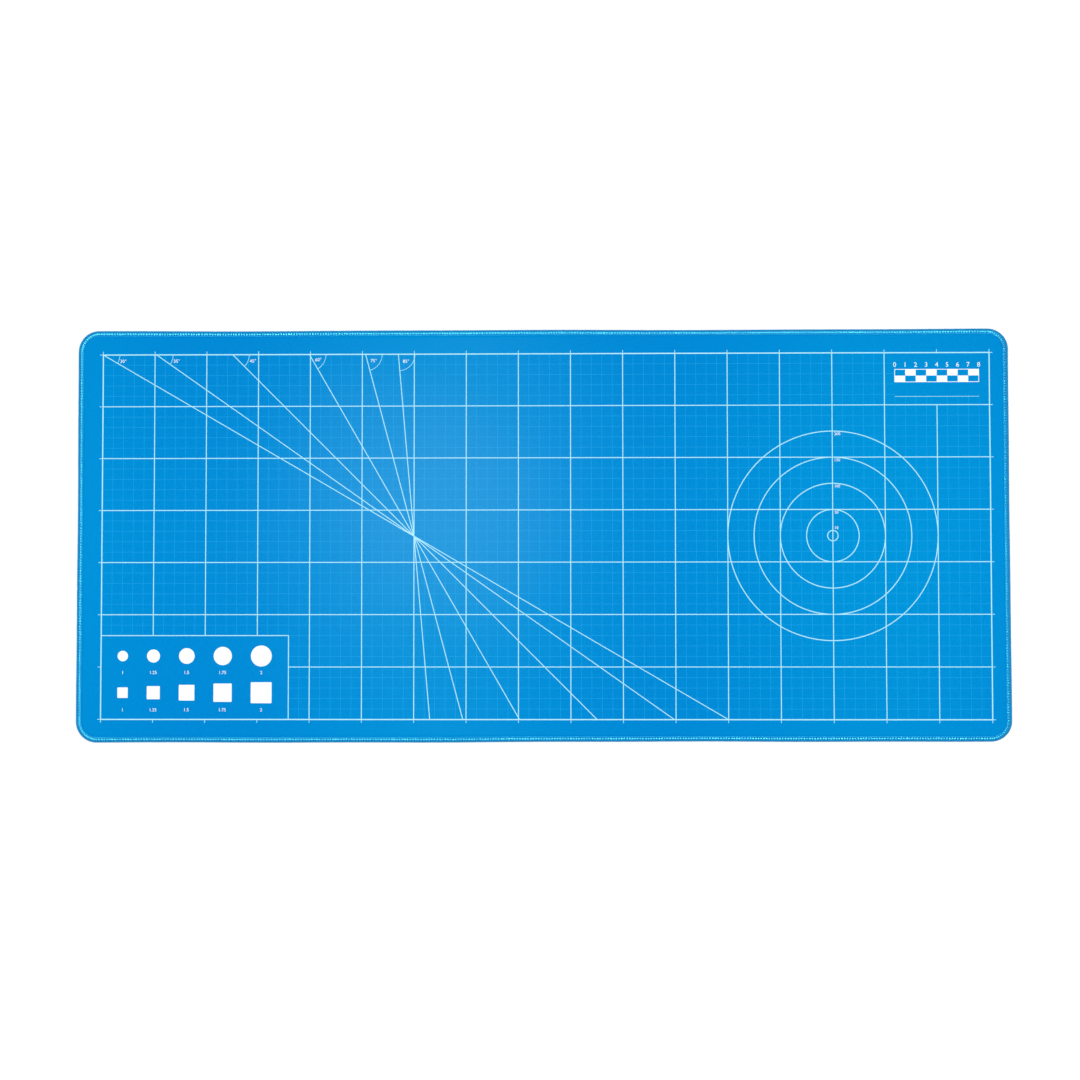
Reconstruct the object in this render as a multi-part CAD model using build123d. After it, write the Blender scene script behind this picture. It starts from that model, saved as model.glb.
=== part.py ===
from build123d import *
import os

# Desk mat: a printed knit cloth bonded to a foamed rubber base, with its rim
# squeezed and bound by a three-thread overlock seam that runs all the way round.
# Millimetres. The origin is the centre of the underside, +X runs along the length
# and +Z points up through the printed side.

# Outline
mat_length = 893.0
mat_width = 395.0
corner_radius = 20.0

# Layers, away from the rim
base_thickness = 3.3
film_thickness = 0.1
cloth_thickness = 0.6

# Overlock seam
seam_width = 5.5        # mat's outer edge to the inner side of the needle line
looper_layer = 0.6      # looper threads lying over the rim and round its cut edge
edge_flat = 0.25        # upright strip left between the two roundings of the edge
needle_thread_width = 0.5
needle_thread_height = 0.4
crest_rise = 0.15       # top of the upper looper above the printed surface
desk_clearance = 0.1    # gap that keeps the lower looper off the desk
ramp_width = 1.0        # run over which the layers slope down to the squeezed rim

# Heights worked out from the sizes above
base_top = base_thickness
film_top = base_top + film_thickness
cloth_top = film_top + cloth_thickness
seam_bottom = desk_clearance
seam_top = cloth_top + crest_rise
rim_bottom = seam_bottom + looper_layer
rim_drop = looper_layer - crest_rise
rim_top = cloth_top - rim_drop
seam_middle = (seam_bottom + seam_top) / 2
seam_edge_radius = (seam_top - seam_bottom - edge_flat) / 2
rim_edge_radius = seam_edge_radius - looper_layer

# Insets from the mat's outer edge worked out from the sizes above
rim_inset = looper_layer
needle_inset = seam_width - needle_thread_width
ramp_foot_inset = seam_width
ramp_head_inset = seam_width + ramp_width


def outline(inset, height):
    """Rounded rectangle of the mat's outer edge moved in by inset, lying at a height."""
    shape = RectangleRounded(
        mat_length - 2 * inset,
        mat_width - 2 * inset,
        corner_radius - inset,
    )
    return Plane.XY.offset(height) * shape


def slab(inset, bottom, top):
    return extrude(outline(inset, bottom), amount=top - bottom)


def rounded_slab(inset, bottom, top, radius):
    block = slab(inset, bottom, top)
    return fillet(block.faces().filter_by(Axis.Z).edges(), radius)


def slope(bottom_inset, bottom, top_inset, top):
    """Solid between two outlines, with its sides sloping from one to the other."""
    return loft([outline(bottom_inset, bottom), outline(top_inset, top)], ruled=True)


def layers_up_to(top):
    """Everything from the squeezed rim's underside up to one layer's top surface."""
    squeezed_top = top - rim_drop
    raised_middle = slope(ramp_foot_inset, squeezed_top, ramp_head_inset, top)
    return slab(rim_inset, rim_bottom, squeezed_top) + raised_middle


def make_rim():
    """The three layers' squeezed rim as one body, with its cut edge pulled round."""
    return rounded_slab(rim_inset, rim_bottom, rim_top, rim_edge_radius)


def pulled_round(layer):
    """A layer with its square cut edge pulled round by the looper threads."""
    square_rim = slab(rim_inset, rim_bottom, rim_top)
    return layer - (square_rim - make_rim())


def make_rubber_base():
    raised_underside = slope(ramp_head_inset, 0, ramp_foot_inset, rim_bottom)
    return pulled_round(layers_up_to(base_top)) + raised_underside


def make_adhesive_film():
    return pulled_round(layers_up_to(film_top) - layers_up_to(base_top))


def make_printed_cloth():
    return pulled_round(layers_up_to(cloth_top) - layers_up_to(film_top))


def make_looper_wrap():
    """Ring of looper threads over the rim's top, cut edge and underside."""
    cover = rounded_slab(0, seam_bottom, seam_top, seam_edge_radius)
    middle = slab(needle_inset, seam_bottom, seam_top)
    return cover - middle - make_rim()


def make_upper_looper_thread():
    return make_looper_wrap() & slab(0, seam_middle, seam_top)


def make_lower_looper_thread():
    return make_looper_wrap() & slab(0, seam_bottom, seam_middle)


def make_needle_thread():
    needle_thread_top = rim_top + needle_thread_height
    outer = slab(needle_inset, rim_top, needle_thread_top)
    inner = slab(seam_width, rim_top, needle_thread_top)
    return outer - inner


nodes = {
    "rubber_base": make_rubber_base,
    "adhesive_film": make_adhesive_film,
    "printed_cloth": make_printed_cloth,
    "needle_thread": make_needle_thread,
    "upper_looper_thread": make_upper_looper_thread,
    "lower_looper_thread": make_lower_looper_thread,
}

os.makedirs("parts", exist_ok=True)
for name, make in nodes.items():
    export_step(make(), f"parts/{name}.step")
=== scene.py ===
import math

import bpy
import numpy as np
from mathutils.geometry import delaunay_2d_cdt
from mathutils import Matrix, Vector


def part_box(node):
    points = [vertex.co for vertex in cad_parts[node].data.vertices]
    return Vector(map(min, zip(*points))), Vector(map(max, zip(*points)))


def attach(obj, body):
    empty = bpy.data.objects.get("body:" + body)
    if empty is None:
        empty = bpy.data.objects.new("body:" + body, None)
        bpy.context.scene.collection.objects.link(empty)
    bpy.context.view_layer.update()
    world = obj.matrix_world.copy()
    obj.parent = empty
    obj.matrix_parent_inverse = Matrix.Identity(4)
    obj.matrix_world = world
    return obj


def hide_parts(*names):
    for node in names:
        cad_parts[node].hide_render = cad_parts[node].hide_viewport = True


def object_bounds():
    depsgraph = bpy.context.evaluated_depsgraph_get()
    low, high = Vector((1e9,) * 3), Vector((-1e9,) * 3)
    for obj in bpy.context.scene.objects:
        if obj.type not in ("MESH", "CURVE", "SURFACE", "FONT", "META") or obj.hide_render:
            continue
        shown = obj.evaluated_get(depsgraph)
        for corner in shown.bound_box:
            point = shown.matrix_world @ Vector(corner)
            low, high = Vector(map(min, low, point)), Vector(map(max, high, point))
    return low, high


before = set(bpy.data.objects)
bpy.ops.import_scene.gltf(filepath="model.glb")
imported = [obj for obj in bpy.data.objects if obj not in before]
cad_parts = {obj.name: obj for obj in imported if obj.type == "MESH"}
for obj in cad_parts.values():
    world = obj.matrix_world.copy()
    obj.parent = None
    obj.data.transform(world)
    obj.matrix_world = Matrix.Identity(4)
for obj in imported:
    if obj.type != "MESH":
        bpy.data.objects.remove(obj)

# Desk mat: knit cloth printed with a white measuring grid, bonded to a foam rubber
# base and bound by a three-thread overlock seam. Metres, in the CAD model's frame.

MM = 0.001
CAD_LOW, CAD_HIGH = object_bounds()

# ---- Sizes that the CAD model also has ------------------------------------------

HALF_X, HALF_Y = CAD_HIGH.x, CAD_HIGH.y
CORNER_RADIUS = 20 * MM
SEAM_WIDTH = 5.5 * MM
LOOPER_LAYER = 0.6 * MM     # thickness of the loopers' wrap over and under the rim
EDGE_FLAT = 0.25 * MM       # upright stretch in the middle of the cut edge
RAMP_WIDTH = 1.0 * MM       # where the cloth slopes down to the seam
NEEDLE_LINE_WIDTH = 0.5 * MM

BASE_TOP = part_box("rubber_base")[1].z
FILM_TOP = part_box("adhesive_film")[1].z
CLOTH_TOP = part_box("printed_cloth")[1].z
SEAM_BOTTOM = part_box("lower_looper_thread")[0].z
SEAM_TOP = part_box("upper_looper_thread")[1].z

RIM_BOTTOM = SEAM_BOTTOM + LOOPER_LAYER
RIM_TOP = SEAM_TOP - LOOPER_LAYER
RIM_DROP = CLOTH_TOP - RIM_TOP
RIM_RADIUS = (SEAM_TOP - SEAM_BOTTOM - EDGE_FLAT) / 2 - LOOPER_LAYER
NEEDLE_INSET = SEAM_WIDTH - NEEDLE_LINE_WIDTH / 2

# ---- How the real mat strays from a perfect one ----------------------------------

TAPER_TOP = -0.6 * MM       # the long edges close up towards the right-hand end
TAPER_BOTTOM = 0.55 * MM
EDGE_WAVE = 0.25 * MM
EDGE_WAVE_REACH = 18 * MM   # the waves die out before the printed border
LIFT = 0.55 * MM            # how far the edge comes off the desk between its contacts
LIFT_REACH = 85 * MM
SWELL = 0.10 * MM           # slow waves of the whole surface


def share(distance, reach):
    """1 at the edge, easing to 0 at reach from it."""
    t = np.clip(1 - distance / reach, 0, 1)
    return t * t * (3 - 2 * t)


def wave(value, length, phase=0.0):
    return np.sin(2 * np.pi * value / length + phase)


def warp(points):
    """Moves points of a perfect mat to where the real one has them."""
    x, y, z = points[:, 0], points[:, 1], points[:, 2]
    top, bottom = share(HALF_Y - y, EDGE_WAVE_REACH), share(HALF_Y + y, EDGE_WAVE_REACH)
    right, left = share(HALF_X - x, EDGE_WAVE_REACH), share(HALF_X + x, EDGE_WAVE_REACH)
    top_wave = wave(x, 0.46, 2.2) + 0.5 * wave(x, 0.21, 0.7)
    bottom_wave = wave(x, 0.52, 0.4) + 0.5 * wave(x, 0.17, 2.0)
    side_wave = wave(y, 0.31, 1.1) + 0.5 * wave(y, 0.13, 0.2)
    along = x / HALF_X
    dy = top * (TAPER_TOP * along + EDGE_WAVE * top_wave)
    dy += bottom * (TAPER_BOTTOM * along + EDGE_WAVE * bottom_wave)
    dx = EDGE_WAVE * side_wave * (0.8 * left - 0.6 * right)

    near = 1 - (1 - share(HALF_Y - np.abs(y), LIFT_REACH)) * (
        1 - share(HALF_X - np.abs(x), LIFT_REACH)
    )
    gaps = 0.5 + 0.5 * wave(x + 0.35 * y, 0.37, 0.9) * wave(y - 0.2 * x, 0.33, 2.4)
    swell = wave(x + 0.3 * y, 0.19, 0.3) * wave(y - 0.15 * x, 0.23, 1.2)
    dz = LIFT * near * gaps**2 + SWELL * swell * z / CLOTH_TOP
    return np.column_stack([x + dx, y + dy, z + dz])


# ---- The mat's outline ------------------------------------------------------------

STRAIGHT_X = 2 * (HALF_X - CORNER_RADIUS)
STRAIGHT_Y = 2 * (HALF_Y - CORNER_RADIUS)
CORNER_ARC = CORNER_RADIUS * math.pi / 2
PERIMETER = 2 * (STRAIGHT_X + STRAIGHT_Y + 2 * CORNER_ARC)


def outline(distance):
    """Points on the mat's outer edge and their outward directions, by distance round it."""
    distance = np.mod(distance, PERIMETER)
    far_half = distance >= PERIMETER / 2
    left_over = np.where(far_half, distance - PERIMETER / 2, distance)
    run_x = np.clip(left_over, 0, STRAIGHT_X)
    left_over = left_over - STRAIGHT_X
    first_turn = np.clip(left_over, 0, CORNER_ARC)
    left_over = left_over - CORNER_ARC
    run_y = np.clip(left_over, 0, STRAIGHT_Y)
    second_turn = np.clip(left_over - STRAIGHT_Y, 0, CORNER_ARC)
    angle = (first_turn + second_turn) / CORNER_RADIUS - math.pi / 2
    outward = np.column_stack([np.cos(angle), np.sin(angle)])
    centre = np.column_stack([run_x - STRAIGHT_X / 2, run_y - STRAIGHT_Y / 2])
    turned = np.where(far_half, -1.0, 1.0)[:, None]
    return turned * (centre + CORNER_RADIUS * outward), turned * outward


# ---- Materials --------------------------------------------------------------------

def srgb(red, green, blue):
    """Linear colour from 0-255 display values."""
    values = [c / 255 for c in (red, green, blue)]
    return [v / 12.92 if v <= 0.04045 else ((v + 0.055) / 1.055) ** 2.4 for v in values] + [1.0]


class Shader:
    """Small helper that builds one Principled material."""

    def __init__(self, name, **uniform):
        self.material = bpy.data.materials.new(name)
        self.material.use_nodes = True
        self.tree = self.material.node_tree
        self.principled = self.tree.nodes["Principled BSDF"]
        for key, value in uniform.items():
            socket = key.replace("_", " ").title().replace("Ior", "IOR")
            self.principled.inputs[socket].default_value = value
        self.coordinates = self.tree.nodes.new("ShaderNodeTexCoord")

    def link(self, source, target):
        self.tree.links.new(source, target)

    def node(self, kind, inputs=None, **settings):
        made = self.tree.nodes.new("ShaderNode" + kind)
        for key, value in settings.items():
            setattr(made, key, value)
        for key, value in (inputs or {}).items():
            if isinstance(value, bpy.types.NodeSocket):
                self.link(value, made.inputs[key])
            else:
                made.inputs[key].default_value = value
        return made

    def noise(self, size, detail=2.0, roughness=0.5):
        """Noise whose features are about size across."""
        inputs = {"Vector": self.coordinates.outputs["Object"], "Scale": 1 / size,
                  "Detail": detail, "Roughness": roughness}
        return self.node("TexNoise", inputs).outputs["Fac"]

    def ribs(self, pitch, direction="X", distortion=0.0, vector=None, phase=0.0):
        """Sine bands, one every pitch."""
        where = vector or self.coordinates.outputs["Object"]
        inputs = {"Vector": where, "Scale": math.pi / 10 / pitch, "Distortion": distortion,
                  "Detail": 1.0, "Detail Scale": 0.6, "Phase Offset": phase}
        made = self.node("TexWave", inputs, wave_type="BANDS", bands_direction=direction)
        return made.outputs["Fac"]

    def maths(self, operation, first, second):
        return self.node("Math", {0: first, 1: second}, operation=operation).outputs[0]

    def spread(self, value, low, high, to_low, to_high):
        inputs = {"Value": value, "From Min": low, "From Max": high,
                  "To Min": to_low, "To Max": to_high}
        return self.node("MapRange", inputs).outputs["Result"]

    def blend_colours(self, value, stops):
        """Colour ramp over value; stops are (place, colour)."""
        ramp = self.node("ValToRGB", {"Fac": value})
        elements = ramp.color_ramp.elements
        while len(elements) < len(stops):
            elements.new(0.5)
        for element, (place, colour) in zip(elements, stops):
            element.position, element.color = place, colour
        return ramp.outputs["Color"]

    def multiply(self, first, second):
        mixed = self.node("Mix", data_type="RGBA", blend_type="MULTIPLY")
        mixed.inputs["Factor"].default_value = 1.0
        self.link(first, mixed.inputs["A"])
        self.link(second, mixed.inputs["B"])
        return mixed.outputs["Result"]

    def colour(self, output):
        self.link(output, self.principled.inputs["Base Color"])

    def roughness(self, output):
        self.link(output, self.principled.inputs["Roughness"])

    def relief(self, height, depth, strength=1.0):
        """Bump of a height map whose full range is depth."""
        inputs = {"Height": height, "Strength": strength, "Distance": depth}
        bump = self.node("Bump", inputs)
        self.link(bump.outputs["Normal"], self.principled.inputs["Normal"])


FIELD_BLUE = srgb(1, 131, 197)
INK_WHITE = srgb(232, 237, 240)
THIN_INK = srgb(164, 220, 233)      # thin lines let some of the blue through
FINE_INK = srgb(34, 158, 220)
THREAD_GLINT = (0.16, 1.0, 1.0, 1.0)    # keeps the gleam on the thread blue
SHADE_BAND_PITCH = 430 * MM                # pitch of the slow painted shade and highlight bands in the cloth, and of its painted light falloff
CLOTH_GLOSS = {"specular_ior_level": 0.0, "coat_weight": 0.0048, "coat_roughness": 0.16}


def knit_relief(shader):
    """Wales and courses of a fine warp knit, with its slightly uneven yarns."""
    wales = shader.ribs(0.62 * MM, "X", 0.6)
    courses = shader.ribs(0.48 * MM, "Y", 0.6)
    loops = shader.maths("MULTIPLY", wales, courses)
    fuzz = shader.noise(0.35 * MM, 2.0)
    return shader.maths("ADD", loops, fuzz)


def scaled(colour, red, green, blue):
    """Colour with its channels multiplied."""
    return [colour[0] * red, colour[1] * green, colour[2] * blue, 1.0]


def make_knit_material():
    shader = Shader("knit_cloth", **CLOTH_GLOSS)
    grain = shader.noise(1.1 * MM, 3.0, 0.7)
    grained = shader.blend_colours(grain, [
        (0.30, scaled(FIELD_BLUE, 0.0, 0.90, 0.94)),
        (0.70, scaled(FIELD_BLUE, 3.0, 1.10, 1.05)),
    ])
    # Painted shade and highlight: broad lighter and darker bands along X copy light on the mat's
    # slow waves
    painted_band_wave = shader.ribs(SHADE_BAND_PITCH, "X", 0.5, phase=4.6)
    bands = shader.blend_colours(painted_band_wave, [
        (0.0, (0.6, 0.93, 0.985, 1.0)),
        (1.0, (1.0, 1.05, 1.015, 1.0)),
    ])
    # Painted shade: the colour gets darker towards the top and bottom edges, copying light falling
    # off there
    painted_falloff_wave = shader.ribs(SHADE_BAND_PITCH, "Y", 0.5, phase=math.pi)
    rows = shader.blend_colours(painted_falloff_wave, [
        (0.0, (1.0, 0.95, 0.975, 1.0)),
        (1.0, (1.0, 1.02, 1.01, 1.0)),
    ])
    shader.colour(shader.multiply(shader.multiply(grained, bands), rows))
    shader.roughness(shader.spread(grain, 0.3, 0.7, 0.85, 0.7))
    shader.relief(knit_relief(shader), 0.05 * MM, 0.6)
    return shader.material


def make_ink_material(name, colour):
    shader = Shader(name, **CLOTH_GLOSS)
    wear = shader.noise(2.5 * MM, 4.0, 0.65)
    shader.colour(shader.blend_colours(wear, [
        (0.25, scaled(colour, 0.90, 0.95, 0.98)),
        (0.55, colour),
    ]))
    shader.roughness(shader.spread(wear, 0.3, 0.7, 0.62, 0.5))
    shader.relief(knit_relief(shader), 0.04 * MM, 0.5)
    return shader.material


def make_thread_material(name, dark, light):
    """Twisted polyester; the thread's own map runs round it and along it in millimetres."""
    shader = Shader(name, ior=1.85, specular_ior_level=1.0, specular_tint=THREAD_GLINT)
    along = shader.coordinates.outputs["UV"]
    twist = shader.node("Mapping", {"Vector": along, "Scale": (1.0, 1.6, 1.0)})
    strands = shader.ribs(0.5, "DIAGONAL", 0.8, twist.outputs["Vector"])
    fibres = shader.noise(0.18 * MM, 3.0, 0.7)
    patch = shader.noise(3.0 * MM, 2.0)
    tone = shader.maths("MULTIPLY_ADD", strands, 0.35)
    tone.node.inputs[2].default_value = 0.15
    tone = shader.maths("ADD", tone, shader.maths("MULTIPLY", patch, 0.6))
    shader.colour(shader.blend_colours(tone, [(0.25, dark), (0.75, light)]))
    shader.roughness(shader.spread(fibres, 0.3, 0.7, 0.22, 0.28))
    shader.relief(shader.maths("ADD", strands, fibres), 0.015 * MM, 0.3)
    return shader.material


def make_rubber_material():
    shader = Shader("foam_rubber", specular_ior_level=0.35)
    cells = shader.node("TexVoronoi", {"Vector": shader.coordinates.outputs["Object"],
                                       "Scale": 1 / (0.45 * MM)}).outputs["Distance"]
    blotches = shader.noise(25 * MM, 3.0)
    shader.colour(shader.blend_colours(blotches, [
        (0.3, srgb(24, 24, 26)),
        (0.7, srgb(34, 34, 36)),
    ]))
    shader.roughness(shader.spread(cells, 0.0, 0.8, 0.85, 0.62))
    shader.relief(cells, 0.06 * MM, 0.5)
    return shader.material


def make_film_material():
    shader = Shader("bond_film", specular_ior_level=0.4)
    smears = shader.noise(12 * MM, 4.0, 0.6)
    shader.colour(shader.blend_colours(smears, [
        (0.3, srgb(100, 106, 108)),
        (0.7, srgb(120, 126, 126)),
    ]))
    shader.roughness(shader.spread(smears, 0.3, 0.7, 0.5, 0.35))
    shader.relief(smears, 0.03 * MM, 0.4)
    return shader.material


def make_floor_material():
    shader = Shader("studio_floor", specular_ior_level=0.0, roughness=1.0)
    paper = shader.noise(40 * MM, 2.0)
    shader.colour(shader.blend_colours(paper, [
        (0.0, (0.82, 0.82, 0.82, 1.0)),
        (1.0, (0.85, 0.85, 0.85, 1.0)),
    ]))
    return shader.material


# ---- Building meshes ----------------------------------------------------------------

def add_piece(name, points, faces, material, smooth=True):
    mesh = bpy.data.meshes.new(name)
    mesh.from_pydata(np.asarray(points).tolist(), [], faces)
    mesh.validate()
    mesh.polygons.foreach_set("use_smooth", [smooth] * len(mesh.polygons))
    mesh.materials.append(material)
    piece = bpy.data.objects.new(name, mesh)
    bpy.context.scene.collection.objects.link(piece)
    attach(piece, "root")
    return piece


GRID_INSET = 8.0 * MM       # where a layer's inner grid meets the rings of its rim
GRID_SPACING = 8.6 * MM
CORNER_STEPS = 5


def rounded_grid(finer=1):
    """Grid over the mat inside GRID_INSET with round corners, and its loop of boundary points.

    Gives the points as rows, the indices round the boundary, and for each of those the
    centre that its corner turns about and its outward direction."""
    radius = CORNER_RADIUS - GRID_INSET

    def stations(half_straight):
        steps = round(2 * half_straight / GRID_SPACING) * finer
        turn = np.linspace(0, 1, CORNER_STEPS * finer + 1)[1:]
        middle = np.linspace(-half_straight, half_straight, steps + 1)
        centres = np.concatenate([
            np.full(len(turn), -half_straight), middle, np.full(len(turn), half_straight)])
        reach = np.concatenate([-turn[::-1], np.zeros(len(middle)), turn])
        return centres, reach

    centre_x, reach_x = stations(STRAIGHT_X / 2)
    centre_y, reach_y = stations(STRAIGHT_Y / 2)
    cx, cy = np.meshgrid(centre_x, centre_y)
    u, v = np.meshgrid(reach_x, reach_y)
    outward = np.dstack([u * np.sqrt(1 - v * v / 2), v * np.sqrt(1 - u * u / 2)])
    centres = np.dstack([cx, cy])
    points = centres + radius * outward
    rows, columns = cx.shape
    index = np.arange(rows * columns).reshape(rows, columns)
    loop = np.concatenate([
        index[0, :-1], index[:-1, -1], index[-1, :0:-1], index[:0:-1, 0]])
    flat_centres, flat_outward = centres.reshape(-1, 2)[loop], outward.reshape(-1, 2)[loop]
    return points.reshape(-1, 2), index, loop, flat_centres, flat_outward


def grid_faces(index, first, flipped):
    a, b = index[:-1, :-1].ravel() + first, index[:-1, 1:].ravel() + first
    c, d = index[1:, 1:].ravel() + first, index[1:, :-1].ravel() + first
    quads = np.column_stack([a, d, c, b] if flipped else [a, b, c, d])
    return quads.tolist()


def ring_faces(upper, lower):
    """Quads between two loops of indices, the lower one further out or further down."""
    return np.column_stack([upper, lower, np.roll(lower, -1), np.roll(upper, -1)]).tolist()


def build_layer(name, section, material, underside=None, finer=1):
    """Closed layer: a grid on top, rings down its section of (inset, height), and a grid below.

    The section starts on the top grid's boundary and ends on the bottom grid's. underside
    gives the bottom grid's heights, and finer how many of its cells match one on top."""
    top_points, index, loop, centres, outward = rounded_grid()
    (_, top), (_, bottom) = section[0], section[-1]
    points = [np.column_stack([top_points, np.full(len(top_points), top)])]
    faces = grid_faces(index, 0, flipped=False)
    count = len(top_points)
    previous = loop
    for inset, height in section[1:-1]:
        ring = centres + (CORNER_RADIUS - inset) * outward
        points.append(np.column_stack([ring, np.full(len(ring), height)]))
        current = np.arange(count, count + len(ring))
        faces += ring_faces(previous, current)
        count += len(ring)
        previous = current
    low_points, low_index, low_loop, _, _ = rounded_grid(finer)
    heights = underside(low_index) if underside else np.full(len(low_points), bottom)
    points.append(np.column_stack([low_points, heights]))
    faces += grid_faces(low_index, count, flipped=True)
    last = low_loop + count
    steps = len(loop)
    for i in range(steps):
        fine = [int(last[(i * finer + k) % len(last)]) for k in range(finer + 1)]
        faces.append([int(previous[i]), *fine, int(previous[(i + 1) % steps])])
    return add_piece(name, warp(np.vstack(points)), faces, material)


SQUEEZE_START = SEAM_WIDTH + RAMP_WIDTH + 0.7 * MM  # insets that the squeeze runs between
SQUEEZE_END = SEAM_WIDTH - 0.1 * MM
FLAT_RINGS = (4.2 * MM, 3.0 * MM)                   # insets of more rings under the seam
RIM_ROUND_INSET = LOOPER_LAYER + RIM_RADIUS
RAMP_STEPS = 7
ROUND_STEPS = 6


def squeezed(inset, drop):
    """How far a layer's surface has sunk at an inset, as the seam squeezes it."""
    t = np.clip((SQUEEZE_START - inset) / (SQUEEZE_START - SQUEEZE_END), 0, 1)
    return drop * t * t * (3 - 2 * t)


def face_line(height, end_inset, drop=RIM_DROP):
    """Section along one face of a layer, from the grid's boundary out to its end."""
    insets = [GRID_INSET, *np.linspace(SQUEEZE_START, SQUEEZE_END, RAMP_STEPS)]
    insets += [i for i in (*FLAT_RINGS, RIM_ROUND_INSET) if i > end_inset + 0.2 * MM]
    insets.append(end_inset)
    return [(i, height - squeezed(i, drop)) for i in insets]


def rounding(centre_height, start_angle, end_angle):
    """Section round the rim's pulled-round edge; angles are from straight up."""
    angles = np.linspace(start_angle, end_angle, ROUND_STEPS)
    return [(RIM_ROUND_INSET - RIM_RADIUS * math.sin(a), centre_height + RIM_RADIUS * math.cos(a))
            for a in angles]


UPPER_ROUND = RIM_TOP - RIM_RADIUS      # heights that the rim's two roundings turn about
LOWER_ROUND = RIM_BOTTOM + RIM_RADIUS


def upper_angle(height):
    """Where on the upper rounding a layer boundary meets the cut edge."""
    return math.acos(min(1.0, (height - RIM_DROP - UPPER_ROUND) / RIM_RADIUS))


def upper_end(height):
    """Inset at which a layer boundary meets the cut edge."""
    return RIM_ROUND_INSET - RIM_RADIUS * math.sin(upper_angle(height))


def layer_section(top, bottom):
    """Section of the cloth or the film, between two boundary heights."""
    above = face_line(top, upper_end(top))
    edge = rounding(UPPER_ROUND, upper_angle(top), upper_angle(bottom))[1:-1]
    below = face_line(bottom, upper_end(bottom))
    return above + edge + below[::-1]


def base_section():
    """Section of the base, which has the rest of the cut edge and curls up under the seam."""
    above = face_line(BASE_TOP, upper_end(BASE_TOP))
    edge = rounding(UPPER_ROUND, upper_angle(BASE_TOP), math.pi / 2)[1:]
    edge += rounding(LOWER_ROUND, math.pi / 2, math.pi)[:-1]
    below = face_line(0.0, RIM_ROUND_INSET, -RIM_BOTTOM)
    return above + edge + below[::-1]


GRIP_DEPTH = 0.18 * MM
GRIP_FINER = 3              # cells of the underside that match one on top


def grip(index):
    """Heights of the moulded anti-slip underside: points on the desk with hollows between."""
    rows, columns = np.indices(index.shape)
    hollow = ((rows + columns) % 2).ravel().astype(float)
    inside = np.zeros(index.shape)
    inside[1:-1, 1:-1] = 1.0
    return GRIP_DEPTH * hollow * inside.ravel()


# ---- Overlock seam --------------------------------------------------------------------

STITCH_PITCH = 2.55 * MM
STITCHES = round(PERIMETER / STITCH_PITCH)
PITCH = PERIMETER / STITCHES
# A looper's leg, needle to edge: share of the leg, turn of the loop at its end in degrees,
# half width and half height in mm
LEG = np.array([
    (0.000, 0, 0.28, 0.13),
    (0.079, 0, 0.46, 0.16),
    (0.166, 0, 0.60, 0.19),
    (0.316, 0, 0.62, 0.20),
    (0.434, 0, 0.56, 0.22),
    (0.620, 0, 0.42, 0.25),
    (0.810, 0, 0.38, 0.25),
    (1.000, 0, 0.37, 0.24),
    (1.000, 45, 0.36, 0.24),
    (1.000, 90, 0.34, 0.22),
])
LEG_SPREAD = 0.8            # below 1, the two legs of a pair part sooner
LOOP_TURN = 0.36 * MM       # radius of the turn at the end of a loop
LOOP_OVERLAP = 0.5 * MM     # how far a loop goes past the middle of the cut edge
SLACK = np.array([0.5, 0.15, 0.85, 0.6])   # crest's loss at the left, bottom, right and top
LEG_LEAN = 0.085            # sideways lean of a leg
THREAD_SIDES = 5
CREST = 0.25 * MM           # how far the upper looper's bulk heaps up over the rim
# The heap's outline across the seam: inset in mm, share of CREST
CREST_LINE = np.array([
    (0.00, 0.00), (1.40, 0.00), (2.20, 1.00), (2.95, 0.82), (3.90, 0.46), (4.45, 0.42),
    (4.90, -0.20)])

rng = np.random.default_rng(11)


def per_stitch(spread, steps):
    """One smooth random factor round the seam, with a knot at every stitch."""
    knots = rng.normal(0.0, spread, STITCHES)
    spots = np.arange(STITCHES * steps) / steps
    return np.interp(spots, np.arange(STITCHES + 1), np.append(knots, knots[0]))


def sweep(name, centre, across, up, half_width, half_height, material, closed=True):
    """Tube of elliptical section along centre, with a map that runs round it and along it."""
    # Half a side's turn puts a flat side up, where the light glances off it
    angles = np.pi * (2 * np.arange(THREAD_SIDES) + 1) / THREAD_SIDES + np.pi / 2
    points = (
        centre[:, None, :]
        + across[:, None, :] * (half_width[:, None] * np.cos(angles))[:, :, None]
        + up[:, None, :] * (half_height[:, None] * np.sin(angles))[:, :, None]
    ).reshape(-1, 3)
    count = len(centre)
    rings = np.arange(count * THREAD_SIDES).reshape(count, THREAD_SIDES)
    here = rings if closed else rings[:-1]
    ahead = np.roll(rings, -1, axis=0) if closed else rings[1:]
    quads = np.stack([here, np.roll(here, -1, axis=1), np.roll(ahead, -1, axis=1), ahead], axis=2)
    faces = quads.reshape(-1, 4)[:, ::-1].tolist()
    step = np.linalg.norm(np.diff(centre, axis=0), axis=1)
    length = np.concatenate([[0.0], np.cumsum(step)]) / MM
    if not closed:
        faces += [rings[0].tolist(), rings[-1][::-1].tolist()]
    piece = add_piece(name, warp(points), faces, material)
    layer = piece.data.uv_layers.new(name="ThreadMap")
    turn = np.broadcast_to(np.arange(THREAD_SIDES), here.shape)
    v_here = np.broadcast_to(length[: len(here), None], here.shape)
    v_ahead = np.broadcast_to(np.append(length, length[-1])[1: len(here) + 1, None], here.shape)
    u_low, u_high = turn / THREAD_SIDES, (turn + 1) / THREAD_SIDES
    corners = np.stack([
        np.dstack([u_low, v_here]), np.dstack([u_high, v_here]),
        np.dstack([u_high, v_ahead]), np.dstack([u_low, v_ahead]),
    ], axis=2)[:, :, ::-1, :].reshape(-1, 2)
    values = np.zeros((len(piece.data.loops), 2))
    values[: len(corners)] = corners
    layer.data.foreach_set("uv", values.ravel())
    return piece


def unit(vectors):
    """Rows scaled to length 1."""
    return vectors / np.linalg.norm(vectors, axis=1)[:, None]


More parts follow.
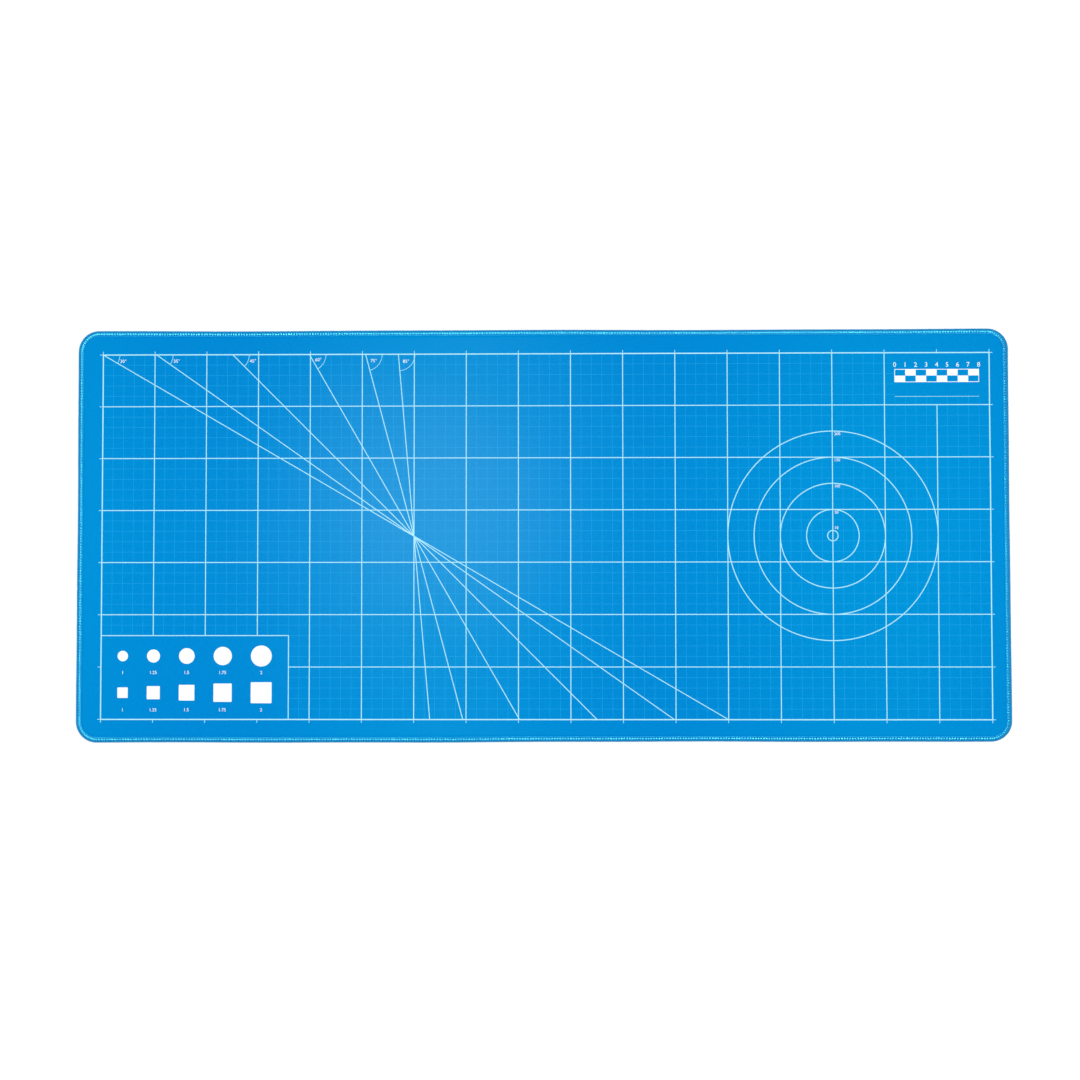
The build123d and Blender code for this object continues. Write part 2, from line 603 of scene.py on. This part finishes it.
def directions(centre, up):
    """Sideways and upward unit vectors of a closed path lying on a surface."""
    tangent = unit(np.roll(centre, -1, axis=0) - np.roll(centre, 1, axis=0))
    across = unit(np.cross(tangent, up))
    return across, np.cross(across, tangent)


def looper(name, below, phase, material):
    """One looper thread: out over the rim, round the cut edge past its middle, and back."""
    share_out, bend, half_width, half_height = LEG.T
    bend = np.radians(bend)
    half_way = 0.5 * PITCH - LOOP_TURN * np.cos(bend)
    half_way = np.where(bend > 0, half_way, (0.5 * PITCH - LOOP_TURN) * share_out ** LEG_SPREAD)
    there_and_back = np.append(np.arange(len(LEG)), np.arange(len(LEG) - 2, 0, -1))
    steps = len(there_and_back)
    coming_back = np.arange(steps) >= len(LEG)
    along = np.where(coming_back, PITCH - half_way[there_and_back], half_way[there_and_back])

    def repeated(values):
        return np.tile(values[there_and_back], STITCHES)

    half_width = repeated(half_width) * MM * (1 + per_stitch(0.07, steps))
    half_height = repeated(half_height) * MM * (1 + per_stitch(0.05, steps))
    flat_run = NEEDLE_INSET - RIM_ROUND_INSET
    turn_radius = RIM_RADIUS + half_height
    turn_run = turn_radius * math.pi / 2
    leg_run = flat_run + turn_run + EDGE_FLAT / 2 + LOOP_OVERLAP - LOOP_TURN
    run = leg_run * repeated(share_out) + LOOP_TURN * repeated(np.sin(bend))
    on_flat = np.minimum(run, flat_run)
    turned = np.clip((run - flat_run) / turn_radius, 0, math.pi / 2)
    down = np.maximum(run - flat_run - turn_run, 0)
    inset = NEEDLE_INSET - on_flat - turn_radius * np.sin(turned)
    drop = turn_radius * (1 - np.cos(turned)) + down
    crown = np.zeros(len(run)) if below else CREST * np.interp(inset / MM, *CREST_LINE.T)

    start = np.repeat(np.arange(STITCHES), steps) + phase + per_stitch(0.035, steps)
    travel = start * PITCH + np.tile(along, STITCHES) + LEG_LEAN * run
    edge, outward = outline(travel)
    facing = np.maximum(np.hstack([-outward, outward]), 0)
    crown = crown * (1 - facing @ SLACK)
    height = (RIM_BOTTOM - half_height + drop) if below else (RIM_TOP + half_height + crown - drop)
    centre = np.column_stack([edge - inset[:, None] * outward, height])
    upright = (-1 if below else 1) * np.cos(turned)
    up = np.column_stack([outward * np.sin(turned)[:, None], upright])
    across, up = directions(centre, up)
    return sweep(name, centre, across, up, half_width, half_height, material)


def needle_stitches(name, material):
    """Needle thread: a stitch over the rim, then down a hole and a loop caught underneath."""
    top, under = RIM_TOP, RIM_BOTTOM
    # share of the pitch, distance outwards from the needle line, height, half thickness
    stitch = np.array([
        (0.05, 0.00, top + 0.20 * MM, 0.20 * MM),
        (0.18, 0.00, top + 0.38 * MM, 0.27 * MM),
        (0.50, 0.00, top + 0.46 * MM, 0.29 * MM),
        (0.82, 0.00, top + 0.38 * MM, 0.27 * MM),
        (0.95, 0.00, top + 0.20 * MM, 0.20 * MM),
        (0.97, 0.00, top - 0.60 * MM, 0.13 * MM),
        (0.97, 0.00, under + 0.30 * MM, 0.13 * MM),
        (0.95, 0.15 * MM, under - 0.20 * MM, 0.16 * MM),
        (0.99, 0.95 * MM, under - 0.42 * MM, 0.17 * MM),
        (1.03, 0.15 * MM, under - 0.20 * MM, 0.16 * MM),
        (1.03, 0.00, under + 0.30 * MM, 0.13 * MM),
        (1.03, 0.00, top - 0.60 * MM, 0.13 * MM),
    ])
    steps = len(stitch)
    share_of_pitch, out, height, half = (np.tile(stitch[:, i], STITCHES) for i in range(4))
    number = np.repeat(np.arange(STITCHES), steps)
    edge, outward = outline((number + share_of_pitch) * PITCH)
    wander = per_stitch(0.05, steps) * MM
    inset = NEEDLE_INSET - out + wander
    centre = np.column_stack([edge - inset[:, None] * outward, height])
    tangent = unit(np.gradient(centre, axis=0))
    up = np.empty_like(centre)
    held = np.array([0.0, 0.0, 1.0])        # carried along the thread so that it doesn't twist
    for i, direction in enumerate(tangent):
        held = held - np.dot(held, direction) * direction
        held = held / np.linalg.norm(held)
        up[i] = held
    across = np.cross(tangent, up)
    return sweep(name, centre, across, up, 1.35 * half, 0.85 * half, material, closed=False)


# ---- Printed lines and figures ----------------------------------------------------------
# Everything here is in the print's own millimetres, from its bottom left corner.

CELL = 50
COLUMNS, ROWS = 17, 7
WIDE, HIGH = CELL * COLUMNS, CELL * ROWS
PRINT_SHIFT = (2.8, -0.8)       # the print sits a little off the middle of the mat
PRINT_TURN = math.radians(-0.055)
TEMPLATES = (0, 0, 180, 80)     # box of drawing templates
TITLE_BLOCK = (750, 300, 850, 350)
BORDER_WIDTH, GRID_WIDTH, TICK_WIDTH, FINE_WIDTH = 1.08, 0.84, 0.55, 0.26
RAY_WIDTH, CIRCLE_WIDTH, ARC_WIDTH = 0.78, 0.88, 0.45
TICK_LENGTH = 3.2
RAY_CORNERS = {30: 300.0, 35: 248.5}    # rays that stop at a corner of the grid instead
PROTRACTOR_RADIUS = 16.0
ANGLE_FIGURES, CIRCLE_FIGURES, TEMPLATE_FIGURES, BAR_FIGURES = 3.3, 2.7, 3.0, 4.4   # heights
DISC_ROW, SQUARE_ROW, SIZE_ROWS = 60.5, 25.5, (44.8, 9.2)   # heights in the template box
TEMPLATE_MARGIN, TEMPLATE_GAP = 16.0, 18.25
BAR_UNITS, BAR_UNIT_LENGTH, BAR_ROW_HEIGHT = 8, 10.0, 6.0
BAR_PLACE = (10, 22)                # from the title block's lower left corner
BAR_LINE, THIN_LINE, THIN_LINE_HEIGHT = 0.6, 0.4, 8
STEP = 8.0                          # longest stretch of a printed line with no vertex
ARC_STEP, ARC_DEGREES = 2.2, 10     # the same along an arc, and its longest turn
INK_RISE, INK_SINK = 0.025 * MM, 0.05 * MM


class Print:
    """Collects outlines, merges them into one flat shape and gives it a thickness."""

    def __init__(self):
        self.points, self.polygons, self.groups = [], [], []

    def add(self, polygon, group=None):
        x, y = np.array(polygon, float).T
        if np.dot(x, np.roll(y, -1)) < np.dot(y, np.roll(x, -1)):
            polygon = polygon[::-1]
        start = len(self.points)
        self.points += [tuple(map(float, p)) for p in polygon]
        self.polygons.append(list(range(start, start + len(polygon))))
        self.groups.append(group)

    def line(self, start, end, width):
        start, end = np.array(start, float), np.array(end, float)
        length = np.linalg.norm(end - start)
        along = (end - start) / length
        side = np.array([-along[1], along[0]]) * width / 2
        stops = np.linspace(0, length, max(1, math.ceil(length / STEP)) + 1)
        for a, b in zip(stops, stops[1:]):
            p, q = start + along * a, start + along * b
            self.add([p - side, q - side, q + side, p + side])

    def arc(self, centre, radius, width, start=0.0, end=360.0):
        turn = abs(end - start)
        length = turn / 360 * 2 * math.pi * radius
        steps = max(4, math.ceil(length / ARC_STEP), math.ceil(turn / ARC_DEGREES))
        angles = np.radians(np.linspace(start, end, steps + 1))
        inner, outer = radius - width / 2, radius + width / 2
        spots = np.column_stack([np.cos(angles), np.sin(angles)])
        for a, b in zip(spots, spots[1:]):
            ring = (inner * a, outer * a, outer * b, inner * b)
            self.add([centre + spot for spot in ring])

    def disc(self, centre, radius):
        angles = np.radians(np.arange(0, 360, 7.5))
        self.add(np.array(centre) + radius * np.column_stack([np.cos(angles), np.sin(angles)]))

    def square(self, centre, side, rounding=0.7):
        half = side / 2 - rounding
        angles = np.radians(np.arange(0, 360, 15))
        spots = np.column_stack([np.cos(angles), np.sin(angles)])
        shifts = np.where(spots > 1e-9, half, np.where(spots < -1e-9, -half, half))
        self.add(np.array(centre) + shifts + rounding * spots)

    def block(self, low, high):
        (x0, y0), (x1, y1) = low, high
        self.add([(x0, y0), (x1, y0), (x1, y1), (x0, y1)])

    def figures(self, text, centre, height, thicken=0.0):
        """Plain figures in Blender's own font, centred on a point."""
        loops = glyph_loops(text, thicken)
        everything = np.vstack(loops)
        low, high = everything.min(axis=0), everything.max(axis=0)
        scale = height / (high[1] - low[1])
        middle = (low + high) / 2
        group = (text, tuple(centre))
        for loop in loops:
            self.add((loop - middle) * scale + np.array(centre), group)

    def solid(self):
        """Points and faces of the merged shape as a thin closed slab, placed on the cloth."""
        flat, _, triangles, _, _, sources = delaunay_2d_cdt(
            self.points, [], self.polygons, 0, 1e-5, True)
        kept = []
        for triangle, covered_by in zip(triangles, sources):
            groups = [self.groups[i] for i in covered_by]
            solid_here = any(g is None for g in groups)
            glyphs = {g for g in groups if g is not None}
            if solid_here or any(groups.count(g) % 2 for g in glyphs):
                kept.append(triangle)
        used = sorted({v for t in kept for v in t})
        renumber = {v: i for i, v in enumerate(used)}
        kept = [[renumber[v] for v in t] for t in kept]
        return thicken_flat(np.array([flat[v][:] for v in used]), kept)


def glyph_loops(text, thicken):
    """Closed outlines of a short text, as arrays of points."""
    curve = bpy.data.curves.new("figures", "FONT")
    curve.body = text
    curve.fill_mode = "NONE"
    curve.resolution_u = 3
    curve.offset = thicken
    holder = bpy.data.objects.new("figures", curve)
    bpy.context.scene.collection.objects.link(holder)
    bpy.context.view_layer.update()
    evaluated = holder.evaluated_get(bpy.context.evaluated_depsgraph_get())
    mesh = bpy.data.meshes.new_from_object(evaluated)
    joined = {}
    for a, b in (e.vertices for e in mesh.edges):
        joined.setdefault(a, []).append(b)
        joined.setdefault(b, []).append(a)
    loops, seen = [], set()
    for start in sorted(joined):
        if start in seen:
            continue
        loop, here = [], start
        while here is not None:
            seen.add(here)
            loop.append(mesh.vertices[here].co[:2])
            here = next((n for n in joined[here] if n not in seen), None)
        loops.append(np.array(loop))
    bpy.data.objects.remove(holder)
    bpy.data.meshes.remove(mesh)
    bpy.data.curves.remove(curve)
    return loops


def on_mat(flat, height):
    """Places print millimetres on the mat, in metres at a height."""
    x, y = flat[:, 0] - WIDE / 2, flat[:, 1] - HIGH / 2
    c, s = math.cos(PRINT_TURN), math.sin(PRINT_TURN)
    return np.column_stack([
        (c * x - s * y + PRINT_SHIFT[0]) * MM,
        (s * x + c * y + PRINT_SHIFT[1]) * MM,
        np.full(len(flat), height),
    ])


def thicken_flat(flat, faces, rise=INK_RISE):
    """Slab from flat faces that wind anticlockwise: top, underside and walls."""
    count = len(flat)
    edges = {}
    for face in faces:
        for a, b in zip(face, face[1:] + face[:1]):
            edges[(a, b)] = edges.get((a, b), 0) + 1
    walls = [[b, a, a + count, b + count] for (a, b) in edges if (b, a) not in edges]
    underside = [[v + count for v in reversed(face)] for face in faces]
    points = np.vstack([on_mat(flat, CLOTH_TOP + rise), on_mat(flat, CLOTH_TOP - INK_SINK)])
    return points, faces + underside + walls


def ruled_print():
    """The ruled lines, and the figures and solid shapes, as two merged shapes."""
    ink, solids = Print(), Print()
    box_x, box_y = TEMPLATES[2], TEMPLATES[3]
    title_x, title_y = TITLE_BLOCK[0], TITLE_BLOCK[1]

    # Border, grid and the ticks past the border
    for y in (0, HIGH):
        ink.line((-BORDER_WIDTH / 2, y), (WIDE + BORDER_WIDTH / 2, y), BORDER_WIDTH)
    for x in (0, WIDE):
        ink.line((x, 0), (x, HIGH), BORDER_WIDTH)
    for column in range(COLUMNS + 1):
        x = column * CELL
        if 0 < column < COLUMNS:
            bottom = box_y if x < box_x else 0
            top = title_y if x > title_x else HIGH
            ink.line((x, bottom), (x, top), GRID_WIDTH)
        ink.line((x, -TICK_LENGTH), (x, 0), TICK_WIDTH)
        ink.line((x, HIGH), (x, HIGH + TICK_LENGTH), TICK_WIDTH)
    for row in range(ROWS + 1):
        y = row * CELL
        if 0 < row < ROWS:
            ink.line((box_x if y < box_y else 0, y), (WIDE, y), GRID_WIDTH)
        ink.line((-TICK_LENGTH, y), (0, y), TICK_WIDTH)
        ink.line((WIDE, y), (WIDE + TICK_LENGTH, y), TICK_WIDTH)
    ink.line((0, box_y), (box_x + GRID_WIDTH / 2, box_y), GRID_WIDTH)
    ink.line((box_x, 0), (box_x, box_y), GRID_WIDTH)

    # Rays of the protractor fan, all through one crossing
    hub = np.array([6 * CELL, HIGH / 2])
    for angle in (30, 35, 45, 60, 75, 85):
        reach = RAY_CORNERS.get(angle, HIGH / 2 / math.tan(math.radians(angle)))
        top = hub + np.array([-reach, HIGH / 2])
        bottom = hub - (top - hub)
        ink.line(top, bottom, RAY_WIDTH)
        slope = math.degrees(math.atan2(bottom[1] - top[1], bottom[0] - top[0]))
        ink.arc(top, PROTRACTOR_RADIUS, ARC_WIDTH, slope, 0.0)
        middle = math.radians(slope / 2)
        if angle < 50:                      # too narrow for its figure, which goes beside it
            place = top + np.array([PROTRACTOR_RADIUS + 3.4, -6.0])
        else:
            place = top + 0.62 * PROTRACTOR_RADIUS * np.array([math.cos(middle), math.sin(middle)])
        solids.figures(f"{angle}°", place, ANGLE_FIGURES)

    # Circles, each with its diameter in millimetres
    middle = np.array([14 * CELL, HIGH / 2])
    for diameter in (10, 50, 100, 150, 200):
        ink.arc(middle, diameter / 2, CIRCLE_WIDTH)
        above = 2.6 if diameter == 10 else -2.6     # outside the smallest, inside the others
        place = middle + np.array([1.4 + 1.15 * len(str(diameter)), diameter / 2 + above])
        solids.figures(str(diameter), place, CIRCLE_FIGURES)

    # Drawing templates, with their sizes in centimetres
    left = TEMPLATE_MARGIN
    for size in (10, 12.5, 15, 17.5, 20):
        x = left + size / 2
        solids.disc((x, DISC_ROW), size / 2)
        solids.square((x, SQUARE_ROW), size)
        for y in SIZE_ROWS:
            solids.figures(f"{size / 10:g}", (x, y), TEMPLATE_FIGURES)
        left += size + TEMPLATE_GAP

    # Plain scale bar in the title block's place
    bar_x, bar_y = title_x + BAR_PLACE[0], title_y + BAR_PLACE[1]
    bar_end, bar_top = bar_x + BAR_UNITS * BAR_UNIT_LENGTH, bar_y + 2 * BAR_ROW_HEIGHT
    for number in range(BAR_UNITS + 1):
        x = bar_x + number * BAR_UNIT_LENGTH
        solids.figures(str(number), (x, bar_top + 4.6), BAR_FIGURES, 0.01)
        if number < BAR_UNITS:
            low = bar_y + BAR_ROW_HEIGHT * (number % 2)
            solids.block((x, low), (x + BAR_UNIT_LENGTH, low + BAR_ROW_HEIGHT))
    for y in (bar_y, bar_top):
        solids.line((bar_x - BAR_LINE / 2, y), (bar_end + BAR_LINE / 2, y), BAR_LINE)
    for x in (bar_x, bar_end):
        solids.line((x, bar_y), (x, bar_top), BAR_LINE)
    line_y = title_y + THIN_LINE_HEIGHT
    ink.line((bar_x, line_y), (bar_end, line_y), THIN_LINE)
    return ink.solid(), solids.solid()


def fine_grid():
    """Faint lines every 10 mm, as the filled cells of an uneven grid."""
    spacing = CELL // 5
    half = FINE_WIDTH / 2

    def cuts(total):
        """Edges of the lines across a length, and whether each stretch between them is a line."""
        lines = [v for v in range(spacing, total, spacing) if v % CELL]
        edges = sorted([0.0, float(total)] + [v - half for v in lines] + [v + half for v in lines])
        middles = [(a + b) / 2 for a, b in zip(edges, edges[1:])]
        return np.array(edges), [any(abs(m - v) < half / 2 for v in lines) for m in middles]

    xs, across = cuts(WIDE)
    ys, down = cuts(HIGH)
    flat = np.array([(x, y) for y in ys for x in xs])
    faces = []
    for row, in_row in enumerate(down):
        for column, in_column in enumerate(across):
            if not (in_row or in_column):
                continue
            x, y = (xs[column] + xs[column + 1]) / 2, (ys[row] + ys[row + 1]) / 2
            if any(x0 < x < x1 and y0 < y < y1 for x0, y0, x1, y1 in (TEMPLATES, TITLE_BLOCK)):
                continue
            corner = row * len(xs) + column
            faces.append([corner, corner + 1, corner + 1 + len(xs), corner + len(xs)])
    used = sorted({v for face in faces for v in face})
    renumber = {v: i for i, v in enumerate(used)}
    faces = [[renumber[v] for v in face] for face in faces]
    return thicken_flat(flat[used], faces, INK_RISE / 2)


# ---- Making the pieces --------------------------------------------------------------------

knit_material = make_knit_material()
cloth = build_layer("knit_cloth", layer_section(CLOTH_TOP, FILM_TOP), knit_material)
film = build_layer("bond_film", layer_section(FILM_TOP, BASE_TOP), make_film_material())
base = build_layer("foam_base", base_section(), make_rubber_material(), grip, GRIP_FINER)

for name, (points, faces), ink_colour in zip(
    ("ruled_lines", "white_figures", "fine_grid"),
    (*ruled_print(), fine_grid()),
    (THIN_INK, INK_WHITE, FINE_INK),
):
    material = make_ink_material(name + "_ink", ink_colour)
    add_piece(name, warp(points), faces, material, smooth=False)

seam_material = make_thread_material("looper_thread", srgb(3, 109, 175), srgb(10, 134, 200))
needle_material = make_thread_material("needle_thread", srgb(14, 154, 220), srgb(34, 182, 242))
upper = looper("upper_looper", False, 0.0, seam_material)
lower = looper("lower_looper", True, 0.5, seam_material)
needle = needle_stitches("needle_stitches", needle_material)

for piece, node, slot in (
    (cloth, "printed_cloth", "knit_cloth"),
    (film, "adhesive_film", "bond_film"),
    (base, "rubber_base", "foamed_rubber"),
    (upper, "upper_looper_thread", "sewing_thread"),
    (lower, "lower_looper_thread", "sewing_thread"),
    (needle, "needle_thread", "sewing_thread"),
):
    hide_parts(node)

# ---- Floor, light and camera ----------------------------------------------------------------

FLOOR_HALF = 12.0
FLOOR_GAP = 0.1 * MM                    # keeps the floor's face apart from the mat's underside
WALL_TOP, CEILING_EDGE = 0.30, 0.42     # heights on the unit sphere round the scene
WALL_LIGHT, CEILING_LIGHT = 1.0, 0.13
CAMERA_PLACE = (0.0192, -0.0499, 1.4375)
CAMERA_TURN = (1.807, 0.832, -0.102)    # degrees

floor_mesh = bpy.data.meshes.new("floor")
floor_mesh.from_pydata(
    [(-FLOOR_HALF, -FLOOR_HALF, 0), (FLOOR_HALF, -FLOOR_HALF, 0),
     (FLOOR_HALF, FLOOR_HALF, 0), (-FLOOR_HALF, FLOOR_HALF, 0)], [], [(0, 1, 2, 3)])
floor_mesh.materials.append(make_floor_material())
floor = bpy.data.objects.new("floor", floor_mesh)
floor.location.z = -FLOOR_GAP
bpy.context.scene.collection.objects.link(floor)

scene = bpy.context.scene
scene.view_settings.view_transform = "Standard"

world = bpy.data.worlds.new("studio")
world.use_nodes = True
scene.world = world
background = world.node_tree.nodes["Background"]
background.inputs["Color"].default_value = (1.0, 1.0, 1.0, 1.0)
# A white wall all round, and a dimmer ceiling above it
upward = world.node_tree.nodes.new("ShaderNodeSeparateXYZ")
fade = world.node_tree.nodes.new("ShaderNodeMapRange")
for socket, value in (
    ("From Min", WALL_TOP), ("From Max", CEILING_EDGE),
    ("To Min", WALL_LIGHT), ("To Max", CEILING_LIGHT),
):
    fade.inputs[socket].default_value = value
sky_direction = world.node_tree.nodes.new("ShaderNodeTexCoord")
world.node_tree.links.new(sky_direction.outputs["Generated"], upward.inputs[0])
world.node_tree.links.new(upward.outputs["Z"], fade.inputs["Value"])
world.node_tree.links.new(fade.outputs["Result"], background.inputs["Strength"])


def add_sun(name, tilt_x, tilt_y, spread, strength):
    """Soft light from far overhead, spread and tipped towards +X and +Y by degrees."""
    data = bpy.data.lights.new(name, "SUN")
    data.energy = strength
    data.angle = math.radians(spread)
    lamp = bpy.data.objects.new(name, data)
    lamp.rotation_euler = (-math.radians(tilt_y), math.radians(tilt_x), 0)
    scene.collection.objects.link(lamp)


add_sun("key", -4.9, 3.2, 8, 2.9)
add_sun("fill", 30, 6, 50, 0.4)

camera_data = bpy.data.cameras.new("camera")
camera_data.lens = 50
camera_data.sensor_width = 36
camera = bpy.data.objects.new("camera", camera_data)
camera.location = CAMERA_PLACE
camera.rotation_euler = [math.radians(a) for a in CAMERA_TURN]
scene.collection.objects.link(camera)
scene.camera = camera
